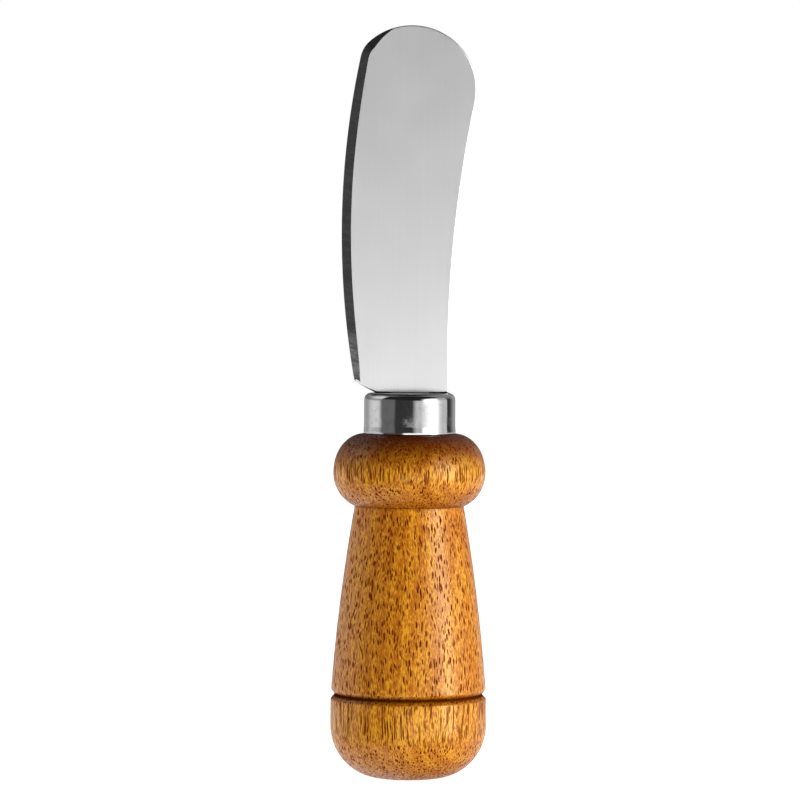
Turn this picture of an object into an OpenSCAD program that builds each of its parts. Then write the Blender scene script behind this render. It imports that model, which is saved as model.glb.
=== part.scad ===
/* [Blade] */
// Length of the blade from the ferrule to the tip
blade_len = 64.9; // [58:0.1:80]
// Thickness of the blade plate
blade_t = 1.6; // [1.3:0.1:2]
// Radius of the round tip
tip_r = 11.4; // [10.5:0.1:12.5]
// How far the middle of the round tip stands to the right of the axis
tip_shift = 0.15; // [-0.3:0.05:0.6]
// Radius of the long convex edge
belly_r = 149; // [125:1:200]
// Widest reach of the convex edge to the left of the axis
belly_reach = 12.15; // [11.5:0.05:12.8]
// Height of that widest point above the ferrule
belly_height = 28.5; // [25:0.5:32]
// Radius that eases the convex edge into the tip
corner_r = 3.5; // [2:0.1:5]
// Radius of the hollow back
back_r = 227; // [190:1:300]
// Narrowest reach of the back to the right of the axis
back_reach = 6.6; // [6:0.05:6.8]
// Reach of the blade's foot to the left of the axis
foot_reach = 6; // [5:0.05:6.6]
// Height of the heel above the ferrule
heel_rise = 1.95; // [1:0.05:4]

/* [Edge] */
// Width of the ground bevel along the convex edge
bevel_w = 1.65; // [1:0.05:2.2]
// Depth of that bevel on each side of the plate
bevel_depth = 0.5; // [0.3:0.05:0.6]
// Size of the broken edge on the rest of the outline
edge_break = 0.15; // [0.1:0.01:0.2]
// Where on the round tip the bevel runs out, in degrees from the right
runout_angle = 109; // [100:1:120]

/* [Tang] */
// Length of the tang below the top of the ferrule
tang_len = 45; // [35:1:50]
// Width of the tang
tang_w = 7; // [5.5:0.1:8]
// Width of the tang's blunt end
tang_end_w = 3; // [1:0.1:5]
// Length over which the tang narrows to that end
tang_taper = 4; // [2:0.1:8]
// Depth of each notch that the adhesive grips
notch_depth = 0.9; // [0.4:0.1:1.4]
// Length of each notch
notch_len = 3.2; // [3:0.1:5]
// Distance from one notch to the next
notch_pitch = 8.5; // [6:0.1:12]
// Distance from the top of the ferrule down to the first notch
notch_start = 12; // [8:0.5:16]

/* [Ferrule] */
// Outer diameter of the ferrule
ferrule_dia = 16.1; // [15.8:0.1:17]
// Length of the ferrule
ferrule_len = 7.2; // [6:0.1:10]
// Wall of the ferrule
ferrule_wall = 0.5; // [0.3:0.05:0.8]
// Radius of its top edge
ferrule_round = 1.2; // [0.9:0.05:1.3]

/* [Handle] */
// Length of the wood below the ferrule
wood_len = 60.9; // [55:0.1:75]
// Diameter of the flat that the knife stands on
flat_dia = 9.6; // [8:0.1:12]
// Height of the rounded base
dome_height = 9.3; // [7:0.1:11]
// Diameter of the base
base_dia = 27.6; // [26:0.1:30]
// Height of the middle of the groove
groove_height = 14.8; // [13.5:0.1:17]
// Depth of the groove
groove_depth = 0.7; // [0.4:0.05:1]
// Opening of the groove
groove_w = 1.7; // [1.2:0.1:2.4]
// Radius of the groove's lips
lip_r = 0.5; // [0.2:0.05:0.7]
// Diameter of the body just above the groove
body_dia = 27.4; // [26:0.1:30]
// Diameter of the body at the crease under the bead
neck_dia = 19.3; // [17:0.1:21]
// How far the body swells past a straight cone, on the radius
body_swell = 0.4; // [0:0.05:0.8]
// Diameter of the bead
bead_dia = 26.95; // [25:0.05:29]
// Height of the bead from the crease to the ferrule
bead_len = 12.8; // [12:0.1:15]
// Distance from the bead's widest point up to the ferrule
bead_shoulder = 6.9; // [6.5:0.1:8]
// Depth of the bead's full lower curve, on the radius
bead_undercut = 6.15; // [5:0.05:7]
// Height of the bead's full lower curve
bead_lower = 6.4; // [6.3:0.05:8]

/* [Bore] */
// Room for adhesive round the corners of the tang
bore_room = 0.6; // [0.3:0.05:1]
// Room for adhesive under the end of the tang
bore_spare = 3.5; // [1:0.1:5]
// Full angle of the drill's point
drill_angle = 118; // [90:1:140]

/* [Fits] */
// Clearance on the radius between the ferrule and the spigot
spigot_fit = 0.05; // [0.02:0.01:0.15]
// Clearance over the end of the spigot
spigot_end_fit = 0.1; // [0.05:0.05:0.3]
// Clearance on each side between the tang and its slot
slot_fit = 0.15; // [0.05:0.05:0.3]
// Clearance on the radius between the adhesive and the hole
bond_fit = 0.02; // [0.01:0.01:0.05]

/* [Hidden] */
$fn = 96;

// How far every cut runs past the face that it opens, and the tang into the blade
overrun = 1;

// Shares of the bevel's full width, each after its share of the way from the heel to the tip
bevel_shares = [[0, 0.65], [0.05, 0.82], [0.2, 0.98], [0.45, 1], [0.85, 0.98], [1, 0.87]];

// Steps in which each curve is drawn
belly_steps = 28;
corner_steps = 6;
tip_steps = 40;
back_steps = 20;
dome_steps = 18;
lip_steps = 4;
swell_steps = 14;
bead_steps = 18;

// Heights above the flat, and radii about the axis
half_t = blade_t / 2;
foot_z = wood_len + ferrule_len;
flat_r = flat_dia / 2;
base_r = base_dia / 2;
body_r = body_dia / 2;
neck_r = neck_dia / 2;
bead_r = bead_dia / 2;
bead_z = wood_len - bead_shoulder;
crease_z = wood_len - bead_len;
groove_low = groove_height - groove_w / 2;
groove_high = groove_height + groove_w / 2;
ferrule_r = ferrule_dia / 2;
ferrule_bore_r = ferrule_r - ferrule_wall;
spigot_r = ferrule_bore_r - spigot_fit;
spigot_top = foot_z - ferrule_wall - spigot_end_fit;
spigot_bevel = ferrule_round - ferrule_wall;
tang_end_z = foot_z - tang_len;
bore_r = norm([tang_w / 2, half_t]) + bore_room;
bore_floor = tang_end_z - bore_spare;
notch_count = floor((tang_len - tang_taper - notch_start) / notch_pitch);

// Direction from one point to another, between 0 and 360 degrees
function bearing(from, to) = (atan2(to[1] - from[1], to[0] - from[0]) + 360) % 360;

// Directions at even steps from one to another
function sweep(from, to, steps) = [for (i = [0:steps]) from + (to - from) * i / steps];

// Points of a part of an ellipse about a middle
function ellipse_arc(middle, across, up, from, to, steps) =
    [for (a = sweep(from, to, steps)) middle + [across * cos(a), up * sin(a)]];

// Points of a part of a circle about a middle
function arc(middle, radius, from, to, steps) = ellipse_arc(middle, radius, radius, from, to, steps);

// A list without its first entry
function rest(list) = [for (i = [1:len(list) - 1]) list[i]];

// Where two circles cross, on the left of the line from the first middle to the second
function crossing(p, p_radius, q, q_radius) =
    let (gap = norm(q - p), ahead = (q - p) / gap)
    let (along = (p_radius ^ 2 - q_radius ^ 2 + gap ^ 2) / (2 * gap))
    let (aside = sqrt(p_radius ^ 2 - along ^ 2))
    p + along * ahead + aside * [-ahead[1], ahead[0]];

// A corner of an outline, rounded to a radius
function rounded(before, corner, after, radius) =
    let (u = (before - corner) / norm(before - corner), v = (after - corner) / norm(after - corner))
    let (half = acos(u * v) / 2, middle = corner + radius / sin(half) * (u + v) / norm(u + v))
    let (from = bearing(middle, corner + radius / tan(half) * u))
    let (to = bearing(middle, corner + radius / tan(half) * v))
    let (turn = (to - from + 540) % 360 - 180)
    arc(middle, radius, from, from + turn, lip_steps);

// The value at a place in a list of [place, value] pairs, by straight lines between them
function between(pairs, at) =
    let (i = max([for (k = [0:len(pairs) - 2]) at >= pairs[k][0] ? k : 0]))
    let (share = (at - pairs[i][0]) / (pairs[i + 1][0] - pairs[i][0]))
    pairs[i][1] + (pairs[i + 1][1] - pairs[i][1]) * share;

// Unit step into the blade, square to a line that runs clockwise round its outline
function inward(from, to) = let (run = to - from) [run[1], -run[0]] / norm(run);

// A corner moved inwards by one distance from the edge before it and another from the edge after it
function mitred(corner, before, before_inset, after, after_inset) =
    corner + [before_inset * after[1] - after_inset * before[1],
              after_inset * before[0] - before_inset * after[0]]
    / (before[0] * after[1] - before[1] * after[0]);

// Middles of the blade's curves, across and up in its plane: the tip, the convex edge, the corner
// that eases one into the other, and the hollow back, which runs into the tip without a corner
tip_middle = [tip_shift, foot_z + blade_len - tip_r];
belly_middle = [belly_r - belly_reach, foot_z + belly_height];
corner_middle = crossing(tip_middle, tip_r - corner_r, belly_middle, belly_r - corner_r);
back_across = back_reach + back_r;
back_middle = [back_across, tip_middle[1] - sqrt((tip_r + back_r) ^ 2 - (back_across - tip_shift) ^ 2)];

// Directions in which each curve starts and ends, as seen from its middle
heel_angle = 180 + asin((belly_height - heel_rise) / belly_r);
belly_end = bearing(belly_middle, corner_middle);
corner_end = bearing(tip_middle, corner_middle);
tip_end = bearing(tip_middle, back_middle) - 360;
back_start = bearing(back_middle, tip_middle);
back_end = 180 + asin((back_middle[1] - foot_z) / back_r);
tip_angles = rest(sweep(corner_end, tip_end, tip_steps));

// The blade's outline, clockwise from the left of its foot, and the bevel's width at each point
belly = arc(belly_middle, belly_r, heel_angle, belly_end, belly_steps);
outline = concat(
    [[-foot_reach, foot_z]],
    belly,
    rest(arc(corner_middle, corner_r, belly_end, corner_end, corner_steps)),
    [for (a = tip_angles) tip_middle + tip_r * [cos(a), sin(a)]],
    rest(arc(back_middle, back_r, back_start, back_end, back_steps)));
corner_w = bevel_w * between(bevel_shares, 1);
bevel_widths = concat(
    [0],
    [for (i = [0:belly_steps]) bevel_w * between(bevel_shares, i / belly_steps)],
    [for (i = [1:corner_steps]) corner_w],
    [for (a = tip_angles) corner_w * max(0, (a - runout_angle) / (corner_end - runout_angle))],
    [for (i = [1:back_steps]) 0]);
last = len(outline) - 1;

// How far the flat of the blade stays inside the outline at each point, and how deep the edge is cut
insets = [for (w = bevel_widths) max(w, edge_break)];
depths = [for (w = bevel_widths) max(w * bevel_depth / bevel_w, edge_break)];
slope_in = inward(outline[0], outline[1]);
flat_outline = concat(
    [mitred(outline[0], [0, 1], 0, slope_in, edge_break)],
    [mitred(outline[1], slope_in, edge_break, inward(outline[1], outline[2]), insets[1])],
    [for (i = [2:last - 1]) outline[i] + insets[i] * inward(outline[i - 1], outline[i + 1])],
    [mitred(outline[last], inward(outline[last - 1], outline[last]), edge_break, [0, 1], 0)]);

// The blade above the ferrule, as four rings of points from its front face to its back face.
// Each flat face is a ladder of triangles from the foot to the tip, so that it keeps the hollow back.
module plate() {
    rings = [
        [for (i = [0:last]) [flat_outline[i][0], -half_t, flat_outline[i][1]]],
        [for (i = [0:last]) [outline[i][0], depths[i] - half_t, outline[i][1]]],
        [for (i = [0:last]) [outline[i][0], half_t - depths[i], outline[i][1]]],
        [for (i = [0:last]) [flat_outline[i][0], half_t, flat_outline[i][1]]]];
    size = last + 1;
    ladder = [for (i = [0:ceil(last / 2) - 1]) each concat(
        last - i > i + 1 ? [[i, i + 1, last - i]] : [],
        last - i - 1 > i + 1 ? [[i + 1, last - i - 1, last - i]] : [])];
    polyhedron(
        points = [for (ring = rings) each ring],
        faces = concat(
            ladder,
            [for (f = ladder) [f[2] + 3 * size, f[1] + 3 * size, f[0] + 3 * size]],
            [concat([for (k = [0:3]) k * size + last], [for (k = [3:-1:0]) k * size])],
            [for (k = [0:2]) for (i = [0:last - 1]) [k * size + i, (k + 1) * size + i, (k + 1) * size + i + 1]],
            [for (k = [0:2]) for (i = [0:last - 1]) [k * size + i, (k + 1) * size + i + 1, k * size + i + 1]]));
}

// The tang, notched down both sides, with a blunt end
module tang() {
    side = concat(
        [[tang_w / 2, foot_z + overrun]],
        [for (k = [0:notch_count - 1]) let (z = foot_z - notch_start - k * notch_pitch) each [
            [tang_w / 2, z],
            [tang_w / 2 - notch_depth, z - notch_depth],
            [tang_w / 2 - notch_depth, z - notch_len + notch_depth],
            [tang_w / 2, z - notch_len]]],
        [[tang_w / 2, tang_end_z + tang_taper], [tang_end_w / 2, tang_end_z]]);
    rotate([90, 0, 0])
        linear_extrude(blade_t, center = true)
            polygon(concat(side, [for (i = [len(side) - 1:-1:0]) [-side[i][0], side[i][1]]]));
}

// The blade and its tang, one stamped piece
module blade() {
    color([0.80, 0.80, 0.81]) union() {
        plate();
        tang();
    }
}

// Half section of a closed cap with a rounded top edge
module cap_section(radius, height, round) {
    square([radius, height - round]);
    square([radius - round, height]);
    translate([radius - round, height - round]) circle(round);
}

// The ferrule, a drawn cap with a slot for the tang
module ferrule() {
    color([0.86, 0.87, 0.88]) translate([0, 0, wood_len]) difference() {
        rotate_extrude() difference() {
            cap_section(ferrule_r, ferrule_len, ferrule_round);
            translate([0, -overrun])
                cap_section(ferrule_bore_r, ferrule_len - ferrule_wall + overrun, spigot_bevel);
        }
        translate([0, 0, ferrule_len])
            cube([tang_w + 2 * slot_fit, blade_t + 2 * slot_fit, 2 * (ferrule_wall + overrun)], center = true);
    }
}

// The hole for the tang with its drilled point, less some slack on the radius, up to a height
module tang_hole(slack, top) {
    radius = bore_r - slack;
    point = radius / tan(drill_angle / 2);
    translate([0, 0, bore_floor]) cylinder(top - bore_floor, radius, radius);
    translate([0, 0, bore_floor - point]) cylinder(point, 0, radius);
}

// The turned handle: rounded base, groove, swelling body, bead, and the spigot inside the ferrule
module handle() {
    body = [for (i = [0:swell_steps]) let (up = i / swell_steps) [
        body_r + (neck_r - body_r) * up + 4 * body_swell * up * (1 - up),
        groove_high + (crease_z - groove_high) * up]];
    groove_floor = [min(base_r, body_r) - groove_depth, groove_height];
    base_top = [base_r, groove_low];
    profile = concat(
        [[0, 0]],
        ellipse_arc([flat_r, dome_height], base_r - flat_r, dome_height, -90, 0, dome_steps),
        rounded([base_r, dome_height], base_top, groove_floor, lip_r),
        [groove_floor],
        rounded(groove_floor, body[0], body[1], lip_r),
        rest(body),
        ellipse_arc([bead_r - bead_undercut, bead_z], bead_undercut, bead_lower,
            asin((crease_z - bead_z) / bead_lower), 0, bead_steps),
        rest(ellipse_arc([ferrule_r, bead_z], bead_r - ferrule_r, bead_shoulder, 0, 90, bead_steps)),
        [[spigot_r, wood_len], [spigot_r, spigot_top - spigot_bevel]],
        [[spigot_r - spigot_bevel, spigot_top], [0, spigot_top]]);
    color([0.76, 0.46, 0.17]) difference() {
        rotate_extrude() polygon(profile);
        tang_hole(0, spigot_top + overrun);
    }
}

// The adhesive that fills the hole round the tang
module tang_adhesive() {
    color([0.88, 0.80, 0.58]) difference() {
        tang_hole(bond_fit, spigot_top);
        tang();
    }
}

blade();
ferrule();
handle();
tang_adhesive();
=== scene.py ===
"""The looks of a small butter spreader, built round its CAD model: handle, ferrule, blade and stage."""

import math
from types import SimpleNamespace

import bmesh
import bpy
from bpy.props import FloatProperty, FloatVectorProperty, IntProperty, PointerProperty
from mathutils import Matrix, Quaternion, Vector
from mathutils.geometry import intersect_sphere_sphere_2d


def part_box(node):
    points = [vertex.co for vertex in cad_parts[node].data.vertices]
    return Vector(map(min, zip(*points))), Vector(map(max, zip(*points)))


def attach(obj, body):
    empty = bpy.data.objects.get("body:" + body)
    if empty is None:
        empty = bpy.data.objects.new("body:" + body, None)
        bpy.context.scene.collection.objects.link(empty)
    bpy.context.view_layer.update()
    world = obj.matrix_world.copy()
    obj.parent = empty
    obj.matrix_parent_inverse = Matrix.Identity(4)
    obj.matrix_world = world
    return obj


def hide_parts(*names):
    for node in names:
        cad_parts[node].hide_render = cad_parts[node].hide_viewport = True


bl_info = {
    "name": "Butter Knife",
    "version": (1, 0, 0),
    "blender": (4, 5, 0),
    "location": "View3D > Sidebar > Butter Knife",
    "description": "Makes a small butter spreader with a turned wooden handle, and its stage",
    "category": "Object",
}

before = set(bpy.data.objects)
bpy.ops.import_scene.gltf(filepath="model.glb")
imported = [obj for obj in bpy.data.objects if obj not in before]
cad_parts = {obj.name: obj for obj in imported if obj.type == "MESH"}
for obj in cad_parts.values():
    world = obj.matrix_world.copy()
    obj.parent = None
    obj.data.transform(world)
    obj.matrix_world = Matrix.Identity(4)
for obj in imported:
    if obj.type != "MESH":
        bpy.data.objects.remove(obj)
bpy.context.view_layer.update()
BODY = "root"
FLAT_MAP = "Flat map"
MM = 0.001
WELD_DISTANCE = 0.001 * MM
SAME_HEIGHT = 0.002 * MM
SHARP_ANGLE = math.radians(30)

# Corners of the CAD solids that the pieces take their sizes from
BLADE_LOW, BLADE_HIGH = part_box("blade")
FERRULE_LOW, FERRULE_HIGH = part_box("ferrule")
HANDLE_LOW, HANDLE_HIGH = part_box("handle")
BORE_LOW, BORE_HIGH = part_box("tang_adhesive")
WOOD_TOP = FERRULE_LOW.z
BLADE_FOOT = FERRULE_HIGH.z

# Steps in which the stretches of the blade's outline are drawn
HEEL_STEPS, EDGE_STEPS, CORNER_STEPS, TIP_STEPS, BACK_STEPS = 6, 90, 12, 110, 60


def length(title, description, default):
    """A size in metres that a user can change."""
    return FloatProperty(name=title, description=description, default=default, unit="LENGTH", precision=5)


def share(title, description, default):
    """A share from 0 to 1 that a user can change."""
    return FloatProperty(name=title, description=description, default=default, min=0, max=1, subtype="FACTOR")


def colour(title, description, default):
    """A colour that a user can change."""
    return FloatVectorProperty(
        name=title, description=description, default=default, min=0, max=1, subtype="COLOR"
    )


def angle(title, description, degrees):
    """An angle that a user can change, given here in degrees."""
    return FloatProperty(name=title, description=description, default=math.radians(degrees), subtype="ANGLE")


class HandleSizes(bpy.types.PropertyGroup):
    """Radii about the knife's axis and heights above the flat that it stands on."""

    flat_radius: length("Flat radius", "Radius of the flat under the butt", 4.8 * MM)
    dome_height: length("Dome height", "Height of the rounded base", 9.3 * MM)
    base_radius: length("Base radius", "Radius of the base below the groove", HANDLE_HIGH.y)
    groove_height: length("Groove height", "Height of the groove's floor", 14.8 * MM)
    groove_depth: length("Groove depth", "Depth of the groove", 0.7 * MM)
    groove_width: length("Groove width", "Opening of the groove", 1.7 * MM)
    lip_radius: length("Lip radius", "Radius of the groove's lips", 0.5 * MM)
    nose_radius: length("Nose radius", "Radius that the tool leaves in the groove's floor", 0.15 * MM)
    body_radius: length("Body radius", "Radius of the body just above the groove", 13.7 * MM)
    neck_radius: length("Neck radius", "Radius of the body under the bead", 9.65 * MM)
    body_swell: length("Body swell", "How far the body swells past a straight cone", 0.4 * MM)
    crease_height: length("Crease height", "Height of the crease between body and bead", WOOD_TOP - 12.8 * MM)
    bead_radius: length("Bead radius", "Widest radius of the bead", 13.475 * MM)
    bead_height: length("Bead height", "Height of the bead's widest point", WOOD_TOP - 6.9 * MM)
    bead_undercut: length("Bead undercut", "Depth of the bead's full lower curve", 6.15 * MM)
    bead_lower: length("Bead lower", "Height of the bead's full lower curve", 6.4 * MM)
    seat_radius: length("Seat radius", "Radius at which the bead meets the ferrule", FERRULE_HIGH.x)
    wood_top: length("Wood top", "Height of the wood below the ferrule", WOOD_TOP)
    spigot_radius: length("Spigot radius", "Radius of the spigot inside the ferrule", 7.5 * MM)
    spigot_top: length("Spigot top", "Height of the spigot's end", HANDLE_HIGH.z)
    spigot_bevel: length("Spigot bevel", "Bevel of the spigot's end", 0.7 * MM)
    bore_radius: length("Bore radius", "Radius of the hole for the tang", BORE_HIGH.x + 0.02 * MM)
    bore_floor: length("Bore floor", "Height of the end of that hole", BLADE_LOW.z - 3.5 * MM)
    bore_point: length("Bore point", "Height of the drill's point below it", 2.51 * MM)
    segments: IntProperty(name="Segments", description="Steps round the axis", default=256)


class FerruleSizes(bpy.types.PropertyGroup):
    """Sizes of the drawn metal cap."""

    radius: length("Radius", "Outer radius", FERRULE_HIGH.x)
    low: length("Low", "Height at which it starts", FERRULE_LOW.z)
    high: length("High", "Height at which it ends", FERRULE_HIGH.z)
    wall: length("Wall", "Thickness of the metal", 0.5 * MM)
    shoulder: length("Shoulder", "Radius of the top edge", 1.2 * MM)
    flare: length("Flare", "How far the lower rim stands out", 0.08 * MM)
    flare_height: length("Flare height", "Height above its start at which the flare begins", 1.35 * MM)
    rim: length("Rim", "Height of the lower rim", 0.5 * MM)
    slot_width: length("Slot width", "Width of the slot for the tang", 7.3 * MM)
    slot_thickness: length("Slot thickness", "Thickness of that slot", 1.9 * MM)
    segments: IntProperty(name="Segments", description="Steps round the axis", default=256)


class BladeSizes(bpy.types.PropertyGroup):
    """Sizes of the stamped and ground blade, seen from the front."""

    tip_radius: length("Tip radius", "Radius of the round tip", 11.4 * MM)
    tip_shift: length("Tip shift", "How far the tip's middle stands to the right", 0.15 * MM)
    tip_drop: length("Tip drop", "How far the tip stays below the top of the CAD blade", 0.1 * MM)
    belly_radius: length("Belly radius", "Radius of the long convex edge", 149 * MM)
    belly_reach: length("Belly reach", "Widest reach of the convex edge to the left", 12.15 * MM)
    belly_height: length("Belly height", "Height of that widest point above the ferrule", 28.5 * MM)
    corner_radius: length("Corner radius", "Radius between the convex edge and the tip", 5.0 * MM)
    back_radius: length("Back radius", "Radius of the hollow back", 227 * MM)
    back_reach: length("Back reach", "Narrowest reach of the back to the right", 6.85 * MM)
    foot_reach: length("Foot reach", "Reach of the foot to the left", 6.0 * MM)
    heel_rise: length("Heel rise", "Height of the heel above the ferrule", 1.95 * MM)
    heel_radius: length("Heel radius", "Radius of the heel's corner", 0.5 * MM)
    bevel_width: length("Bevel width", "Width of the ground bevel", 1.65 * MM)
    bevel_depth: length("Bevel depth", "Depth of the bevel on each face", 0.5 * MM)
    bevel_runout: angle("Bevel run-out", "Direction from the tip's middle at which the bevel ends", 103.5)
    edge_round: length("Edge round", "Radius of the eased edges", 0.2 * MM)
    heel_round: length("Heel round", "Radius of the eased edge under the heel", 0.3 * MM)
    back_round: length("Back round", "Radius of the eased back at the foot", 0.3 * MM)
    end_slant: angle("End slant", "How far the bevel's lower end slants down towards the face", 18)
    tang_width: length("Tang width", "Width of the tang", 7.0 * MM)
    tang_end: length("Tang end", "Width of the tang's blunt end", 3.0 * MM)
    tang_taper: length("Tang taper", "Length over which the tang narrows to its end", 4.0 * MM)
    notch_start: length("Notch start", "Distance from the foot down to the first notch", 12.0 * MM)
    notch_pitch: length("Notch pitch", "Distance from one notch to the next", 8.5 * MM)
    notch_length: length("Notch length", "Length of each notch", 3.2 * MM)
    notch_depth: length("Notch depth", "Depth of each notch", 0.9 * MM)


class Finishes(bpy.types.PropertyGroup):
    """Colours and finishes of the wood and the metals."""

    wood_light: colour("Light wood", "Colour of the palest wood", (0.91, 0.40, 0.021))
    wood_middle: colour("Middle wood", "Colour of most of the wood", (0.64, 0.190, 0.006))
    wood_dark: colour("Dark wood", "Colour of the darkest wood", (0.52, 0.140, 0.004))
    wood_pore: colour("Pores", "Colour inside the open pores", (0.12, 0.0105, 0.0006))
    pore_spacing: length("Pore spacing", "Usual distance between pores", 0.5 * MM)
    end_grain: share("End grain", "How much darker the wood is across its grain", 0.66)
    steel: colour("Steel", "Colour of the brushed steel", (0.842, 0.842, 0.847))
    bevel_steel: colour("Ground steel", "Colour of the ground bevel", (0.50, 0.50, 0.505))
    chrome: colour("Ferrule metal", "Colour of the polished ferrule", (0.43, 0.43, 0.434))
    adhesive: colour("Adhesive", "Colour of the cured adhesive", (0.62, 0.46, 0.20))


class StageSettings(bpy.types.PropertyGroup):
    """Where the camera stands and how bright the stage is."""

    lens: FloatProperty(name="Lens", description="Focal length of the camera", default=198, unit="CAMERA")
    distance: length("Distance", "From the camera to the point that it looks at", 0.7777)
    elevation: angle("Elevation", "How far the camera looks down", 2.0)
    roll: angle("Roll", "How far the knife leans to the right in the picture", 0.28)
    aim_across: length("Aim across", "Place across of the point that it looks at", -1.72 * MM)
    aim_height: length("Aim height", "Height of the point that it looks at", 66.83 * MM)
    floor_radius: length("Floor radius", "Radius of the floor", 1.2)


class KnifeSettings(bpy.types.PropertyGroup):
    """All the settings of the knife."""

    handle: PointerProperty(type=HandleSizes)
    ferrule: PointerProperty(type=FerruleSizes)
    blade: PointerProperty(type=BladeSizes)
    finishes: PointerProperty(type=Finishes)
    stage: PointerProperty(type=StageSettings)


def formula(operation, swapped=False):
    """An arithmetic sign between a Term and another value, as a Math node."""

    def method(term, other):
        return term.graph.math(operation, *((other, term) if swapped else (term, other)))

    return method


class Term:
    """A value in a node tree that can be written in a formula."""

    __add__ = formula("ADD")
    __sub__ = formula("SUBTRACT")
    __rsub__ = formula("SUBTRACT", swapped=True)
    __mul__ = formula("MULTIPLY")
    __truediv__ = formula("DIVIDE")

    def __init__(self, graph, socket):
        self.graph = graph
        self.socket = socket

    def __neg__(self):
        return self * -1


def spaced(values):
    """Values keyed by names that have spaces instead of underscores."""
    return {name.replace("_", " "): value for name, value in values.items()}


class Graph:
    """A node tree that grows by one node for each call."""

    COLUMN = 190
    ROWS = 6

    def __init__(self, tree):
        self.tree = tree

    def node(self, kind, settings=None, values=None):
        """Adds a node. Values are keyed by a socket's name or place, and may be Terms."""
        made = self.tree.nodes.new(kind)
        place = len(self.tree.nodes)
        made.location = (place // self.ROWS * self.COLUMN, -(place % self.ROWS) * self.COLUMN)
        for name, value in (settings or {}).items():
            setattr(made, name, value)
        for key, value in (values or {}).items():
            self.feed(made, key, value)
        return made

    def feed(self, node, key, value):
        """Gives an input its value, or links it to a Term."""
        if isinstance(key, int):
            socket = node.inputs[key]
        else:
            socket = next(s for s in node.inputs if s.name == key and s.enabled)
        if isinstance(value, Term):
            self.tree.links.new(value.socket, socket)
        else:
            socket.default_value = value

    def term(self, kind, settings=None, values=None, output=0):
        """Adds a node and gives one of its outputs as a Term."""
        made = self.node(kind, settings, values)
        if isinstance(output, int):
            return Term(self, made.outputs[output])
        return Term(self, next(s for s in made.outputs if s.name == output and s.enabled))

    def math(self, operation, *values, clamp=False):
        """A Math node."""
        settings = {"operation": operation, "use_clamp": clamp}
        return self.term("ShaderNodeMath", settings, dict(enumerate(values)))

    def vector(self, x=0, y=0, z=0):
        """A vector from its three parts."""
        return self.term("ShaderNodeCombineXYZ", None, {"X": x, "Y": y, "Z": z})

    def parts(self, vector):
        """The three parts of a vector."""
        made = self.node("ShaderNodeSeparateXYZ", None, {0: vector})
        return [Term(self, s) for s in made.outputs]

    def step(self, value, start, end, low=0, high=1):
        """Goes smoothly from low to high as a value goes from start to end."""
        numbers = {"Value": value, "From Min": start, "From Max": end, "To Min": low, "To Max": high}
        return self.term("ShaderNodeMapRange", {"interpolation_type": "SMOOTHSTEP"}, numbers)

    def band(self, value, start, end, soft_start, soft_end):
        """Is 1 between start and end, and falls smoothly to 0 over the softness at each."""
        rise = self.step(value, start - soft_start / 2, start + soft_start / 2)
        return rise * self.step(value, end - soft_end / 2, end + soft_end / 2, 1, 0)

    def mix(self, factor, a, b):
        """A mix of two colours."""
        values = {"Factor": factor, "A": opaque(a), "B": opaque(b)}
        return self.term("ShaderNodeMix", {"data_type": "RGBA"}, values, "Result")

    def group(self, tree, output, **values):
        """Places a shared effect and gives one of its outputs. Underscores stand for spaces."""
        return self.term("ShaderNodeGroup", {"node_tree": tree}, spaced(values), output)

    def noise(self, vector, detail=2.0, scale=1.0):
        """Noise from 0 to 1 at places given by a vector."""
        return self.term("ShaderNodeTexNoise", None, {"Vector": vector, "Scale": scale, "Detail": detail})

    def stretched(self, vector, across, along):
        """Places counted in units that may be longer along Z than across it."""
        x, y, z = self.parts(vector)
        return self.vector(x / across, y / across, z / along)

    def bump(self, height, distance, strength, normal=None):
        """A normal that follows a height, in metres for a height of 1."""
        values = {"Height": height, "Distance": distance, "Strength": strength}
        if normal is not None:
            values["Normal"] = normal
        return self.term("ShaderNodeBump", None, values)

    def by_index(self, kind, values):
        """One value for each point, in order."""
        switch = self.node("GeometryNodeIndexSwitch", {"data_type": kind})
        while len(switch.index_switch_items) < len(values):
            switch.index_switch_items.new()
        self.feed(switch, "Index", self.term("GeometryNodeInputIndex"))
        for place, value in enumerate(values):
            self.feed(switch, str(place), value)
        return Term(self, switch.outputs[0])

    def near(self, value, other):
        """Is 1 where a height is the same as another."""
        return self.math("COMPARE", value, other, SAME_HEIGHT)

    def welded(self, geometry):
        """Joins the points that lie on each other."""
        values = {"Geometry": geometry, "Distance": WELD_DISTANCE}
        return self.term("GeometryNodeMergeByDistance", None, values)

    def shaded(self, geometry):
        """Smooth faces, with sharp edges where the surface turns by more than the sharp angle."""
        smooth = self.term("GeometryNodeSetShadeSmooth", {"domain": "FACE"}, {"Geometry": geometry})
        turn = self.term("GeometryNodeInputMeshEdgeAngle")
        soft = self.math("LESS_THAN", turn, SHARP_ANGLE)
        values = {"Geometry": smooth, "Selection": True, "Shade Smooth": soft}
        return self.term("GeometryNodeSetShadeSmooth", {"domain": "EDGE"}, values)

    def finish_geometry(self, geometry, material):
        """Gives the tree's geometry as one real mesh with its material."""
        real = self.term("GeometryNodeRealizeInstances", None, {"Geometry": geometry})
        painted = self.term("GeometryNodeSetMaterial", None, {"Geometry": real, "Material": material})
        self.give(Geometry=painted)

    def inputs(self):
        """The tree's own inputs, named in small letters with underscores."""
        made = self.node("NodeGroupInput")
        named = {s.name.lower().replace(" ", "_"): Term(self, s) for s in made.outputs if s.name}
        return SimpleNamespace(**named)

    def give(self, **values):
        """Links the tree's own outputs. Underscores stand for spaces."""
        self.node("NodeGroupOutput", None, spaced(values))

    def finish_shader(self, **values):
        """Sets sockets of a material's Principled shader. Underscores stand for spaces."""
        for name, value in spaced(values).items():
            self.feed(self.tree.nodes["Principled BSDF"], name, value)


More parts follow.
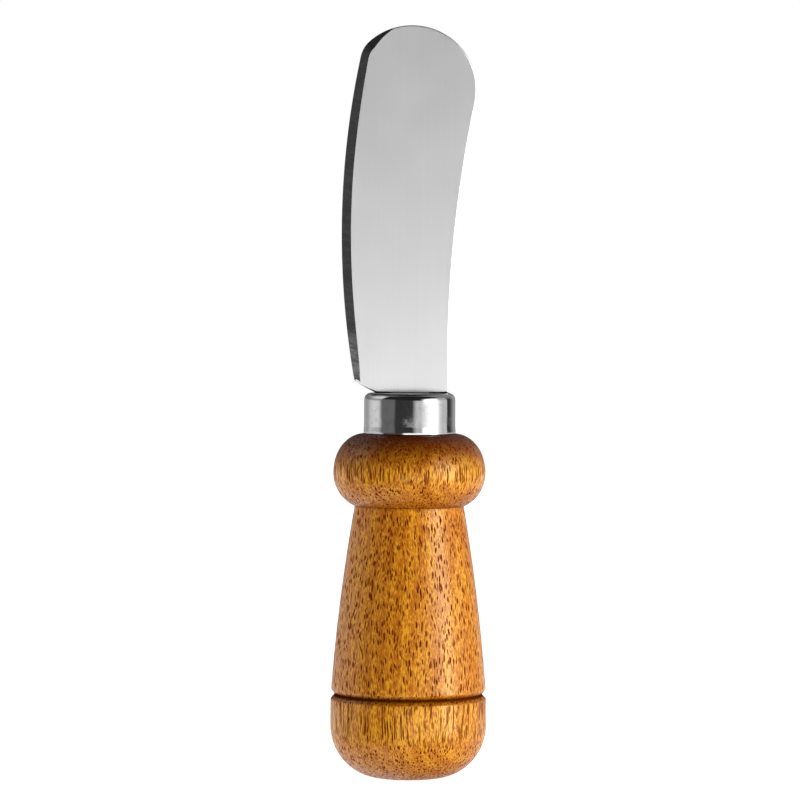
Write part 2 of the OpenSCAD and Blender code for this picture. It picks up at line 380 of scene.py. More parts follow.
def opaque(value):
    """A colour with its alpha, where it is a plain one."""
    return value if isinstance(value, Term) else (*value, 1.0)


def add_socket(tree, title, direction, kind, default=None, description=""):
    """Adds an input or an output to a node group."""
    socket = tree.interface.new_socket(title, description=description, in_out=direction, socket_type=kind)
    if default is not None:
        socket.default_value = default


def shared_effect(title, inputs, output, make):
    """A shader node group with a vector, float inputs with their defaults and one output, built once."""
    if title not in bpy.data.node_groups:
        tree = bpy.data.node_groups.new(title, "ShaderNodeTree")
        add_socket(tree, "Vector", "INPUT", "NodeSocketVector")
        for name, default in inputs.items():
            add_socket(tree, name, "INPUT", "NodeSocketFloat", default)
        add_socket(tree, output, "OUTPUT", "NodeSocketFloat")
        graph = Graph(tree)
        graph.give(**{output: make(graph, graph.inputs())})
    return bpy.data.node_groups[title]


def brush_lines():
    """Fine lines along the vector's Z, as a belt or a draw die leaves them. Lengths are in millimetres."""

    def make(graph, given):
        places = graph.stretched(given.vector, given.line_width, given.line_length)
        return graph.noise(places) * 0.6 + graph.noise(places, 1.0, 0.23) * 0.4

    return shared_effect("Brush lines", {"Line width": 0.06, "Line length": 12.0}, "Lines", make)


def wipe_marks():
    """Soft clouds that wiping and handling leave on a polished surface. Size is in millimetres."""

    def make(graph, given):
        noise = graph.noise(graph.stretched(given.vector, given.size, given.size), detail=5.0)
        return graph.math("ADD", (noise - 0.5) * given.contrast, 0.5, clamp=True)

    return shared_effect("Wipe marks", {"Size": 6.0, "Contrast": 1.0}, "Marks", make)


def specks():
    """Scattered small spots. Spacing is in millimetres, and the size of a speck is a share of it. They differ
    in size by the spread, and fade over the softness, a share of their radius."""

    def make(graph, given):
        places = graph.stretched(given.vector, given.spacing, given.spacing)
        cells = graph.node("ShaderNodeTexVoronoi", None, {"Vector": places, "Scale": 1.0})
        chance, size, _ = graph.parts(Term(graph, cells.outputs["Color"]))
        radius = given.speck_size * (1.0 - size * given.spread)
        inside = graph.math("SUBTRACT", 1.0, Term(graph, cells.outputs["Distance"]) / radius, clamp=True)
        kept = graph.math("LESS_THAN", chance, given.share)
        return graph.step(inside, 0.0, given.softness) * kept

    inputs = {"Spacing": 2.0, "Speck size": 0.1, "Share": 0.5, "Spread": 0.7, "Softness": 0.5}
    return shared_effect("Specks", inputs, "Specks", make)


def new_material(title):
    """A new material and the graph of its nodes."""
    material = bpy.data.materials.new(title)
    material.use_nodes = True
    nodes = material.node_tree.nodes
    nodes["Principled BSDF"].location = (2400, 0)
    nodes["Material Output"].location = (2700, 0)
    return material, Graph(material.node_tree)


def toned(base, share):
    """A colour made darker or lighter by a share."""
    return [part * share for part in base]


def millimetres(graph):
    """The piece's own coordinates, in millimetres."""
    place = graph.term("ShaderNodeTexCoord", output="Object")
    return graph.term("ShaderNodeVectorMath", {"operation": "SCALE"}, {0: place, "Scale": 1 / MM})


def steel_material(finishes, blade):
    """Satin stainless steel, brushed along the blade, with painted shade darkening its edge at the foot, heel
    and tip.
    """
    material, graph = new_material("Brushed steel")
    place = millimetres(graph)
    x, _, z = graph.parts(place)
    lines = graph.group(brush_lines(), "Lines", Vector=place, Line_width=0.07, Line_length=14.0)
    marks = graph.group(wipe_marks(), "Marks", Vector=place, Size=9.0, Contrast=1.2)
    pits = graph.group(specks(), "Specks", Vector=place, Spacing=2.6, Speck_size=0.06, Share=0.3)
    tone = graph.mix(lines * 0.7 + marks * 0.3, toned(finishes.steel, 0.91), finishes.steel)
    spotted = graph.mix(pits * 0.45, tone, toned(finishes.steel, 0.6))

    # Painted shade: the colour goes dark along the foot where it meets the ferrule, and along the eased edges
    # of the heel and the tip
    facing = graph.parts(graph.term("ShaderNodeTexCoord", output="Normal"))[1]
    facing = graph.math("ABSOLUTE", facing)
    foot, heel, top = BLADE_FOOT / MM, (BLADE_FOOT + blade.heel_rise) / MM, BLADE_HIGH.z / MM
    at_heel = graph.step(z, heel + 0.4, foot + 0.5) * graph.step(x, 0.0, -1.0)
    heel_edge = graph.step(facing, 0.97, 0.8) * at_heel
    foot_line = graph.step(z, foot + 0.2, foot + 0.1)
    tip_edge = graph.step(facing, 0.8, 0.4) * graph.step(z, top - 14.0, top - 6.0) * 0.5
    painted_edge_shade = graph.math("MAXIMUM", graph.math("MAXIMUM", heel_edge, foot_line), tip_edge)
    graph.finish_shader(
        Base_Color=graph.mix(painted_edge_shade, spotted, (0.03, 0.03, 0.03)),
        Metallic=1.0,
        Roughness=marks * 0.03 + lines * 0.03 + 0.272,
        Anisotropic=0.8,
        Tangent=graph.term("ShaderNodeTangent", {"direction_type": "UV_MAP", "uv_map": FLAT_MAP}),
        Normal=graph.bump(lines, 0.0022 * MM, 0.5),
    )
    return material


def ground_material(finishes, blade):
    """The ground bevel: polished, with cross marks from the wheel that grow coarser towards the heel."""
    material, graph = new_material("Ground steel")
    place = millimetres(graph)
    _, _, z = graph.parts(place)
    across = graph.term("ShaderNodeMapping", None, {"Vector": place, "Rotation": (0, math.radians(84), 0)})
    lines = graph.group(brush_lines(), "Lines", Vector=across, Line_width=0.45, Line_length=5.0)
    marks = graph.group(wipe_marks(), "Marks", Vector=place, Size=3.0, Contrast=1.5)
    heel = BLADE_FOOT / MM + blade.heel_rise / MM
    coarse = graph.step(z, heel + 10.0, heel + 6.0)
    streaks = graph.step(lines, 0.38, 0.62)
    tone = graph.mix(streaks, toned(finishes.bevel_steel, 0.9), toned(finishes.bevel_steel, 1.15))
    tone = graph.mix(coarse * (streaks * 0.9 + 0.15), tone, (0.98, 0.98, 0.98))
    bump = graph.bump(lines * (coarse * 0.92 + 0.08), 0.05 * MM, 0.8)
    graph.finish_shader(
        Base_Color=tone,
        Metallic=1.0,
        Roughness=marks * 0.05 + coarse * 0.12 + 0.1,
        Normal=bump,
    )
    return material


def chrome_material(finishes):
    """Bright polished metal with faint draw lines, small dents and specks."""
    material, graph = new_material("Polished ferrule")
    place = millimetres(graph)
    lines = graph.group(brush_lines(), "Lines", Vector=place, Line_width=0.3, Line_length=5.0)
    marks = graph.group(wipe_marks(), "Marks", Vector=place, Size=2.2, Contrast=1.6)
    pits = graph.group(specks(), "Specks", Vector=place, Spacing=1.7, Speck_size=0.09, Share=0.3)
    clouds = graph.step(graph.noise(graph.stretched(place, 1.1, 1.1), detail=4.0), 0.42, 0.68)
    dull = toned(finishes.chrome, 0.35)
    ripple = graph.noise(graph.stretched(place, 0.8, 1.3), detail=3.0)
    swell = graph.noise(graph.stretched(place, 3.0, 3.0), detail=1.0)
    bump = graph.bump(lines * 0.12 + ripple * 0.2 + swell * 0.3 - pits * 0.4, 0.05 * MM, 0.8)
    graph.finish_shader(
        Base_Color=graph.mix(graph.math("MAXIMUM", pits, clouds * 0.15), finishes.chrome, dull),
        Metallic=1.0,
        Roughness=marks * 0.1 + 0.02,
        Normal=bump,
    )
    return material


def adhesive_material(finishes):
    """Cured epoxy, clouded, with small bubbles."""
    material, graph = new_material("Cured adhesive")
    place = millimetres(graph)
    clouds = graph.group(wipe_marks(), "Marks", Vector=place, Size=2.5, Contrast=1.4)
    bubbles = graph.group(specks(), "Specks", Vector=place, Spacing=1.1, Speck_size=0.22, Share=0.5)
    tone = graph.mix(clouds, toned(finishes.adhesive, 0.7), finishes.adhesive)
    graph.finish_shader(
        Base_Color=graph.mix(bubbles * 0.5, tone, (0.85, 0.74, 0.5)),
        Roughness=clouds * 0.2 + 0.35,
        Normal=graph.bump(clouds - bubbles * 0.7, 0.05 * MM, 0.6),
    )
    return material


def wood_material(finishes, handle):
    """Open-pored hardwood under clear lacquer. Its pores are cut open as short dark dashes along the grain,
    as long lines where the surface runs along it, and as dots where the surface cuts across."""
    material, graph = new_material("Lacquered wood")
    place = millimetres(graph)
    x, y, z = graph.parts(place)
    radius = graph.math("SQRT", x * x + y * y)
    facing = graph.term("ShaderNodeTexCoord", output="Normal")
    across_grain = graph.math("ABSOLUTE", graph.parts(facing)[2])

    # The grain leans a little against the axis and wanders
    leaning = graph.term("ShaderNodeMapping", None, {"Vector": place, "Rotation": (0.03, 0.02, 0)})
    drift = graph.term("ShaderNodeTexNoise", None, {"Vector": leaning, "Scale": 0.07, "Detail": 2.0}, "Color")
    sway = graph.term("ShaderNodeVectorMath", {"operation": "SCALE"}, {0: drift, "Scale": 2.4})
    grain = graph.term("ShaderNodeVectorMath", {"operation": "ADD"}, {0: leaning, 1: sway})

    # Sizes are in millimetres, across the grain and along it
    fibres = graph.noise(graph.stretched(grain, 0.19, 0.75), detail=1.0)
    flecks = graph.noise(graph.stretched(grain, 0.5, 2.4), detail=2.0)
    figure = graph.noise(graph.stretched(grain, 4.0, 24.0), detail=2.0)
    gx, gy, _ = graph.parts(grain)
    heart_x, heart_y = -34.0, 26.0
    off_x, off_y = gx - heart_x, gy - heart_y
    from_heart = graph.math("SQRT", off_x * off_x + off_y * off_y)
    rings = graph.math("SINE", from_heart * 2.9 + figure * 5.0) * 0.5 + 0.5
    groove = handle.groove_height / MM
    on_body = graph.band(z, groove, handle.crease_height / MM, 1.0, 1.0)
    along = graph.step(across_grain, 0.34, 0.12) * (1.0 - on_body)
    base = graph.step(z, groove + 1.0, groove - 1.0) * (1.0 - across_grain)
    tone = fibres * 0.60 + flecks * 0.20 + figure * 0.13 + rings * 0.07 + along * 0.05 + base * 0.01

    def cut_pores(across, length, size):
        """Pores stretched by a number across the grain and by another along it."""
        values = {"Spacing": finishes.pore_spacing / MM, "Spread": 0.4, "Softness": 0.35, "Share": 0.92}
        places = graph.stretched(grain, across, length)
        return graph.group(specks(), "Specks", Vector=places, Speck_size=size, **values)

    dashes = cut_pores(0.88, 3.6, 0.5) * (1.0 - along * 0.5)
    lines = cut_pores(0.7, 12.0, 0.6) * along
    faint = cut_pores(0.67, 3.6, 0.44) * 0.5
    opened = graph.math("MAXIMUM", dashes, lines) * (flecks + 0.45)
    pores = graph.math("MAXIMUM", opened, faint)

    ramp = graph.node("ShaderNodeValToRGB", None, {"Fac": tone})
    stops = ramp.color_ramp.elements
    stops[0].position, stops[0].color = 0.40, opaque(finishes.wood_dark)
    stops[1].position, stops[1].color = 0.60, opaque(finishes.wood_light)
    middle = stops.new(0.5)
    middle.color = opaque(finishes.wood_middle)
    clear_wood = Term(graph, ramp.outputs["Color"])

    # Darker where the grain is cut across and in the groove, and painted shade round the ferrule's seat and
    # in the crease
    end_grain = graph.math("POWER", across_grain, 1.4) * finishes.end_grain
    # Painted shade: the top of the bead darkens towards the ferrule, as if little light fell on it from above
    seat = graph.step(z, handle.bead_height / MM - 0.5, handle.wood_top / MM) * 0.82
    # Painted shade: a dark band in the crease between body and bead
    crease = graph.band(z, handle.crease_height / MM - 0.2, handle.crease_height / MM + 0.25, 0.4, 0.4) * 0.35
    # Darker inside the groove, the more so the deeper it goes
    groove_low = (handle.groove_height - handle.groove_width / 2) / MM
    groove_high = (handle.groove_height + handle.groove_width / 2) / MM
    in_groove = graph.band(z, groove_low, groove_high, 0.3, 0.3)
    cut = handle.body_radius / MM - 0.1
    groove_dark = in_groove * graph.step(radius, cut, cut - handle.groove_depth / MM * 0.8)
    # The end grain darkening is the wood's own colour; the seat and crease darkening mixed in with it is
    # painted shade
    shade = (1.0 - end_grain) * (1.0 - seat) * (1.0 - crease)
    dark = graph.math("SUBTRACT", 1.0, shade, clamp=True)
    shaded = graph.mix(dark, clear_wood, (0.06, 0.0, 0.0))
    porous = graph.mix(pores * 0.94, shaded, finishes.wood_pore)
    coloured = graph.mix(groove_dark * 0.96, porous, (0.05, 0.006, 0.0))

    turning = graph.noise(graph.vector(0.0, 0.0, z * 3.4), detail=3.0)
    skin = graph.bump(fibres * 0.7 + turning * 0.3, 0.008 * MM, 0.6)
    sunk = graph.bump(1.0 - pores, 0.03 * MM, 0.5, skin)
    dull = groove_dark * 0.5 + pores * 0.5 + across_grain * 0.25 + seat * 0.15
    graph.finish_shader(
        Base_Color=coloured,
        Roughness=fibres * 0.15 + 0.33,
        Specular_IOR_Level=graph.math("SUBTRACT", 0.42, dull * 0.9, clamp=True),
        Specular_Tint=(1.0, 0.9, 0.3, 1.0),
        Coat_Weight=graph.math("SUBTRACT", 0.46, dull, clamp=True),
        Coat_Roughness=0.2,
        Normal=sunk,
        Coat_Normal=graph.bump(1.0 - pores, 0.02 * MM, 0.6, skin),
    )
    return material


def sized_tree(title, sizes):
    """A Geometry Nodes tree with one named input for each size, and a material."""
    tree = bpy.data.node_groups.new(title, "GeometryNodeTree")
    tree.is_modifier = True
    for size in properties(sizes):
        kind = "NodeSocketInt" if size.type == "INT" else "NodeSocketFloat"
        add_socket(tree, size.name, "INPUT", kind, size.default, size.description)
    add_socket(tree, "Material", "INPUT", "NodeSocketMaterial")
    add_socket(tree, "Geometry", "OUTPUT", "NodeSocketGeometry")
    return tree


def properties(sizes):
    """The properties that a group of sizes declares."""
    return [p for p in sizes.bl_rna.properties if p.identifier not in {"rna_type", "name"}]


def polyline(graph, points, radii=None):
    """Lines through points, each a radius and a height, with rounded corners where radii are given."""
    line = graph.term("GeometryNodeMeshLine", None, {"Count": len(points)})
    places = graph.by_index("VECTOR", [graph.vector(*point) for point in points])
    placed = graph.term("GeometryNodeSetPosition", None, {"Geometry": line, "Position": places})
    curve = graph.term("GeometryNodeMeshToCurve", None, {"Mesh": placed})
    if radii is None:
        return curve
    return eased(graph, curve, graph.by_index("FLOAT", radii))


def eased(graph, curve, radius):
    """A profile with its corners rounded to a radius, which may differ from point to point."""
    values = {"Curve": curve, "Count": 7, "Radius": radius, "Limit Radius": True}
    return graph.term("GeometryNodeFilletCurve", {"mode": "POLY"}, values)


def ellipse_arc(graph, middle, across, up, start, sweep, steps):
    """A part of an ellipse about a middle. Start and sweep are in radians."""
    values = {"Resolution": steps, "Radius": 1.0, "Start Angle": start, "Sweep Angle": sweep}
    arc = graph.term("GeometryNodeCurveArc", {"mode": "RADIUS"}, values)
    values = {"Geometry": arc, "Translation": graph.vector(*middle), "Scale": graph.vector(across, up, 1.0)}
    return graph.term("GeometryNodeTransform", None, values)


def joined(graph, curves):
    """Curves that meet end to end, as one."""
    join = graph.node("GeometryNodeJoinGeometry")
    for curve in curves:
        graph.tree.links.new(curve.socket, join.inputs[0])
    edges = graph.term("GeometryNodeCurveToMesh", None, {"Curve": Term(graph, join.outputs[0])})
    return graph.term("GeometryNodeMeshToCurve", None, {"Mesh": graph.welded(edges)})


def turned(graph, profile, segments):
    """A closed solid of revolution, welded at its poles, with sharp edges where the profile has corners."""
    path_radius = 10 * MM
    values = {"Geometry": profile, "Translation": (-path_radius, 0, 0), "Scale": (1, -1, 1)}
    section = graph.term("GeometryNodeTransform", None, values)
    values = {"Resolution": segments, "Radius": path_radius}
    path = graph.term("GeometryNodeCurvePrimitiveCircle", None, values)
    surface = graph.term("GeometryNodeCurveToMesh", None, {"Curve": path, "Profile Curve": section})
    return graph.shaded(graph.welded(surface))


def handle_tree():
    """The turned handle: flat, rounded base, groove, swelling body, bead, spigot and drilled hole."""
    tree = sized_tree("Turned handle", HandleSizes)
    graph = Graph(tree)
    size = graph.inputs()
    base_steps, body_steps, bead_lower_steps, bead_upper_steps = 48, 72, 40, 44
    groove_low = size.groove_height - size.groove_width * 0.5
    groove_high = size.groove_height + size.groove_width * 0.5
    half_across = (size.body_radius + size.neck_radius) * 0.5 + size.body_swell * 2
    half_up = (groove_high + size.crease_height) * 0.5
    bead_inside = size.bead_radius - size.bead_undercut
    bead_start = graph.math("ARCSINE", (size.crease_height - size.bead_height) / size.bead_lower)
    bead_foot = bead_inside + size.bead_undercut * graph.math("COSINE", bead_start)
    body = {
        "Resolution": body_steps,
        "Start": graph.vector(size.body_radius, groove_high),
        "Middle": graph.vector(half_across, half_up),
        "End": graph.vector(size.neck_radius, size.crease_height),
    }
    groove = [
        (size.base_radius, size.dome_height),
        (size.base_radius, groove_low),
        (size.body_radius - size.groove_depth, size.groove_height),
        (size.body_radius, groove_high),
    ]
    spigot = [
        (size.seat_radius, size.wood_top),
        (size.spigot_radius, size.wood_top),
        (size.spigot_radius, size.spigot_top - size.spigot_bevel),
        (size.spigot_radius - size.spigot_bevel, size.spigot_top),
        (size.bore_radius, size.spigot_top),
        (size.bore_radius, size.bore_floor),
        (0.0, size.bore_floor - size.bore_point),
    ]
    quarter = math.pi / 2
    profile = joined(graph, [
        polyline(graph, [(0.0, 0.0), (size.flat_radius, 0.0)]),
        ellipse_arc(graph, (size.flat_radius, size.dome_height), size.base_radius - size.flat_radius,
                    size.dome_height, -quarter, quarter, base_steps),
        polyline(graph, groove),
        graph.term("GeometryNodeCurveQuadraticBezier", None, body),
        polyline(graph, [(size.neck_radius, size.crease_height), (bead_foot, size.crease_height)]),
        ellipse_arc(graph, (bead_inside, size.bead_height), size.bead_undercut, size.bead_lower,
                    bead_start, -bead_start, bead_lower_steps),
        ellipse_arc(graph, (size.seat_radius, size.bead_height), size.bead_radius - size.seat_radius,
                    size.wood_top - size.bead_height, 0.0, quarter, bead_upper_steps),
        polyline(graph, spigot),
    ])
    _, height, _ = graph.parts(graph.term("GeometryNodeInputPosition"))
    lips = graph.near(height, groove_low) + graph.near(height, groove_high)
    radius = lips * size.lip_radius + graph.near(height, size.groove_height) * size.nose_radius
    solid = turned(graph, eased(graph, profile, radius), size.segments)
    graph.finish_geometry(solid, size.material)
    return tree


def ferrule_tree():
    """The drawn cap: rounded top edge, flared rim, and the slot for the tang."""
    tree = sized_tree("Drawn ferrule", FerruleSizes)
    graph = Graph(tree)
    size = graph.inputs()
    inside = size.radius - size.wall
    rim = size.radius + size.flare
    profile = [
        (0.0, size.high, 0.0),
        (size.radius, size.high, size.shoulder),
        # A ring on the straight wall, and the start of the flare below it
        (size.radius, size.low + size.flare_height * 2, size.flare_height),
        (size.radius, size.low + size.flare_height, size.flare_height),
        (rim, size.low + size.rim, size.rim),
        (rim, size.low, size.rim * 0.3),
        (inside, size.low, 0.0),
        (inside, size.high - size.wall, size.shoulder - size.wall),
        (0.0, size.high - size.wall, 0.0),
    ]
    outline = polyline(graph, [point[:2] for point in profile], [point[2] for point in profile])
    solid = turned(graph, outline, size.segments)
    box = graph.vector(size.slot_width, size.slot_thickness, size.wall * 4)
    cutter = graph.term("GeometryNodeMeshCube", None, {"Size": box})
    raised = {"Geometry": cutter, "Translation": graph.vector(0.0, 0.0, size.high)}
    cutter = graph.term("GeometryNodeTransform", None, raised)
    settings = {"operation": "DIFFERENCE", "solver": "EXACT"}
    slotted = graph.term("GeometryNodeMeshBoolean", settings, {"Mesh 1": solid, "Mesh 2": cutter})
    graph.finish_geometry(graph.shaded(graph.welded(slotted)), size.material)
    return tree


def made_by_nodes(title, tree, sizes, material):
    """A plain mesh object that a tree makes from a group of sizes."""
    piece = bpy.data.objects.new(title, bpy.data.meshes.new(title))
    modifier = piece.modifiers.new(tree.name, "NODES")
    modifier.node_group = tree
    values = {p.name: getattr(sizes, p.identifier) for p in properties(sizes)}
    values["Material"] = material
    for socket in tree.interface.items_tree:
        if socket.in_out == "INPUT":
            modifier[socket.identifier] = values[socket.name]
    bpy.context.scene.collection.objects.link(piece)
    evaluated = piece.evaluated_get(bpy.context.evaluated_depsgraph_get())
    mesh = bpy.data.meshes.new_from_object(evaluated)
    piece.modifiers.remove(modifier)
    piece.data = mesh
    mesh.materials.clear()
    mesh.materials.append(material)
    return piece


def closed_outwards(piece):
    """Turns a piece's faces outwards, and stops if its surface isn't closed."""
    work = bmesh.new()
    work.from_mesh(piece.data)
    open_edges = [e for e in work.edges if len(e.link_faces) != 2]
    if open_edges or not work.faces:
        raise RuntimeError(f"{piece.name} isn't a closed solid: {len(open_edges)} edges are open")
    bmesh.ops.recalc_face_normals(work, faces=work.faces)
    if work.calc_volume(signed=True) < 0:
        bmesh.ops.reverse_faces(work, faces=work.faces)
    work.to_mesh(piece.data)
    work.free()


def evenly(start, end, steps):
    """Numbers from start to end in equal steps."""
    return [start + (end - start) * i / steps for i in range(steps + 1)]


def around(middle, radius, start, end, steps):
    """Points on an arc about a middle, across and up. Angles are in radians."""
    return [middle + radius * Vector((math.cos(a), math.sin(a))) for a in evenly(start, end, steps)]


def bearing(start, end):
    """Direction from one point to another, in radians from the right."""
    return math.atan2(end.y - start.y, end.x - start.x)


def rounded(before, corner, after, radius, steps):
    """A clockwise outline's corner, rounded to a radius."""
    to_before = (before - corner).normalized()
    to_after = (after - corner).normalized()
    half = to_before.angle(to_after) / 2
    middle = corner + radius / math.sin(half) * (to_before + to_after).normalized()
    start = bearing(middle, corner + radius / math.tan(half) * to_before)
    end = bearing(middle, corner + radius / math.tan(half) * to_after)
    return around(middle, radius, start, end - math.tau if end > start else end, steps)


def ground_share(way):
    """Share of the bevel's full width at a way from 0, at the heel, to 1, at the corner of the tip."""
    heel_loss, tip_loss = 0.35, 0.13
    widening_speed, narrowing_from = 14, 0.72
    widening = 1 - heel_loss * math.exp(-way * widening_speed)
    return widening - tip_loss * max(0.0, (way - narrowing_from) / (1 - narrowing_from)) ** 2


def blade_outline(blade):
    """The blade's outline with its tang, clockwise from the foot. Each point has the width of the bevel
    there, and the radius to which the edge is eased where no bevel is ground."""
    foot = BLADE_FOOT
    tip = Vector((blade.tip_shift, BLADE_HIGH.z - blade.tip_drop - blade.tip_radius))
    belly = Vector((blade.belly_radius - blade.belly_reach, foot + blade.belly_height))
    inner_tip = blade.tip_radius - blade.corner_radius
    crossings = intersect_sphere_sphere_2d(tip, inner_tip, belly, blade.belly_radius - blade.corner_radius)
    corner = max(crossings, key=lambda point: point.y)
    across = blade.back_reach + blade.back_radius
    rise = math.sqrt((blade.tip_radius + blade.back_radius) ** 2 - (across - blade.tip_shift) ** 2)
    back = Vector((across, tip.y - rise))

    heel_angle = math.pi + math.asin((blade.belly_height - blade.heel_rise) / blade.belly_radius)
    heel = around(belly, blade.belly_radius, heel_angle, heel_angle, 1)[0]
    foot_left = Vector((-blade.foot_reach, foot))
    heel_curve = rounded(foot_left, heel, heel + Vector((0, 1)), blade.heel_radius, HEEL_STEPS)
    # The bevel starts a little above the heel's curve
    gap = 0.06 * MM
    clear = heel_curve[-1].y - heel.y + gap
    ground_from = heel_angle - clear / blade.belly_radius
    belly_end = bearing(belly, corner)
    corner_end = bearing(tip, corner)
    edge = around(belly, blade.belly_radius, ground_from, belly_end, EDGE_STEPS)
    corner_curve = around(corner, blade.corner_radius, belly_end, corner_end, CORNER_STEPS)[1:]
    tip_end = bearing(tip, back)
    tip_angles = evenly(corner_end, tip_end, TIP_STEPS)[1:]
    tip_curve = around(tip, blade.tip_radius, corner_end, tip_end, TIP_STEPS)[1:]
    back_end = math.pi + math.asin((back.y - foot) / blade.back_radius)
    back_curve = around(back, blade.back_radius, bearing(back, tip), back_end, BACK_STEPS)[1:]

    full = blade.bevel_width
    eased = blade.edge_round
    corner_width = full * ground_share(1)
    fading = corner_end - blade.bevel_runout
    points = [(p, 0.0, blade.heel_round) for p in [foot_left] + heel_curve]
    points += [(p, full * ground_share(i / EDGE_STEPS), eased) for i, p in enumerate(edge)]
    points += [(p, corner_width, eased) for p in corner_curve]
    for p, a in zip(tip_curve, tip_angles):
        points.append((p, corner_width * max(0.0, (a - blade.bevel_runout) / fading), eased))
    for i, p in enumerate(back_curve):
        points.append((p, 0.0, eased + (blade.back_round - eased) * ((i + 1) / BACK_STEPS)))
    right = tang_side(blade)
    points += [(p, 0.0, eased) for p in right]
    points += [(Vector((-p.x, p.y)), 0.0, eased) for p in reversed(right)]
    return points


def tang_side(blade):
    """The right side of the notched tang, from the foot down to its end."""
    half = blade.tang_width / 2
    depth = blade.notch_depth
    points = [Vector((half, BLADE_FOOT))]
    top = BLADE_FOOT - blade.notch_start
    while top - blade.notch_length > BLADE_LOW.z + blade.tang_taper:
        low = top - blade.notch_length
        points += [Vector((half, top)), Vector((half - depth, top - depth))]
        points += [Vector((half - depth, low + depth)), Vector((half, low))]
        top -= blade.notch_pitch
    points += [Vector((half, BLADE_LOW.z + blade.tang_taper)), Vector((blade.tang_end / 2, BLADE_LOW.z))]
    return points


def blade_rows(blade, outline, steps):
    """Rows of points round the plate, from its front face over the edge to its back face, the places on the
    outline where the bevel is ground, and the places where the edge has a corner."""
    half = BLADE_HIGH.y
    slope = blade.bevel_depth / blade.bevel_width
    slanted_points = 12
    least_mitre = 0.4
    corner_turn = math.radians(25)
    corner_widening = 0.3 * MM
    rows = [[] for _ in range(2 * steps + 2)]
    bevelled = set()
    corners = set()
    ground_start = next(i for i, point in enumerate(outline) if point[1] > 0)
    for i, (point, width, eased) in enumerate(outline):
        before, after = outline[i - 1], outline[(i + 1) % len(outline)]
        into = (point - before[0]).normalized()
        out = (after[0] - point).normalized()
        inward = Vector((into.y + out.y, -into.x - out.x)).normalized()
        mitre = 1 / max(least_mitre, inward.dot(Vector((out.y, -out.x))))
        if width and i - ground_start < slanted_points:
            fading = (1 - (i - ground_start) / slanted_points) ** 2
            slant = (-blade.end_slant - math.atan2(inward.y, inward.x)) * fading
            inward.rotate(Matrix.Rotation(slant, 2))
        widening = max(abs(width - before[1]), abs(width - after[1]))
        if into.angle(out) > corner_turn or widening > corner_widening:
            corners.add(i)
        ground = min(1.0, width / (2 * blade.edge_round))
        if ground > 0.5:
            bevelled.add(i)
        for k in range(steps + 1):
            turn = k / steps * math.pi / 2
            round_in = eased * (1 - math.sin(turn))
            round_down = eased * (1 - math.cos(turn))
            ground_in = width * (1 - k / steps)
            step_in = (ground_in * ground + round_in * (1 - ground)) * mitre
            down = width * slope * k / steps * ground + round_down * (1 - ground)
            place = point + inward * step_in
            rows[k].append(Vector((place.x, down - half, place.y)))
            rows[-1 - k].append(Vector((place.x, half - down, place.y)))
    return rows, bevelled, corners


def blade_mesh(blade):
    """One stamped plate: flat faces, eased edges, and a bevel ground into both sides of the convex edge."""
    steps = 6
    rows, bevelled, corners = blade_rows(blade, blade_outline(blade), steps)
    count, last = len(rows[0]), len(rows) - 1
    work = bmesh.new()
    rings = [[work.verts.new(place) for place in row] for row in rows]
    work.faces.new(rings[0]).smooth = False
    work.faces.new(list(reversed(rings[last]))).smooth = False
    for k in range(last):
        for i in range(count):
            j = (i + 1) % count
            face = work.faces.new((rings[k][j], rings[k][i], rings[k + 1][i], rings[k + 1][j]))
            face.smooth = True
            face.material_index = int(i in bevelled and j in bevelled)
    borders = {0, steps, steps + 1, last}
    for k, ring in enumerate(rings):
        for i in range(count):
            j = (i + 1) % count
            if k in {0, last} or (k in borders and i in bevelled and j in bevelled):
                work.edges.get((ring[i], ring[j])).smooth = False
            if k < last and i in corners:
                work.edges.get((ring[i], rings[k + 1][i])).smooth = False
    flat_map = work.loops.layers.uv.new(FLAT_MAP)
    for face in work.faces:
        for corner in face.loops:
            place = corner.vert.co
            corner[flat_map].uv = (place.x / BLADE_HIGH.z + 0.5, place.z / BLADE_HIGH.z)
    mesh = bpy.data.meshes.new("ground_blade")
    work.to_mesh(mesh)
    work.free()
    return mesh


class KnifeOperator(bpy.types.Operator):
    """What the knife's operators share."""

    bl_options = {"REGISTER", "UNDO"}

    @classmethod
    def poll(cls, context):
        return context.mode == "OBJECT"

    def finished(self, piece, node, slot):
        """Lets a closed piece stand for its CAD node, on the knife's one body."""
        closed_outwards(piece)
        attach(piece, BODY)
        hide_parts(node)
        return {"FINISHED"}


class KNIFE_OT_turn_handle(KnifeOperator):
    """Turn the wooden handle"""

    bl_idname = "butter_knife.turn_handle"
    bl_label = "Turn handle"

    def execute(self, context):
        knife = context.scene.butter_knife
        wood = wood_material(knife.finishes, knife.handle)
        piece = made_by_nodes("turned_handle", handle_tree(), knife.handle, wood)
        return self.finished(piece, "handle", "handle_wood")


class KNIFE_OT_draw_ferrule(KnifeOperator):
    """Draw the metal ferrule"""

    bl_idname = "butter_knife.draw_ferrule"
    bl_label = "Draw ferrule"

    def execute(self, context):
        knife = context.scene.butter_knife
        chrome = chrome_material(knife.finishes)
        piece = made_by_nodes("drawn_ferrule", ferrule_tree(), knife.ferrule, chrome)
        return self.finished(piece, "ferrule", "ferrule_metal")


class KNIFE_OT_grind_blade(KnifeOperator):
    """Stamp and grind the blade"""

    bl_idname = "butter_knife.grind_blade"
    bl_label = "Grind blade"

    def execute(self, context):
        knife = context.scene.butter_knife
        piece = bpy.data.objects.new("ground_blade", blade_mesh(knife.blade))
        context.scene.collection.objects.link(piece)
        piece.data.materials.append(steel_material(knife.finishes, knife.blade))
        piece.data.materials.append(ground_material(knife.finishes, knife.blade))
        return self.finished(piece, "blade", "blade_steel")


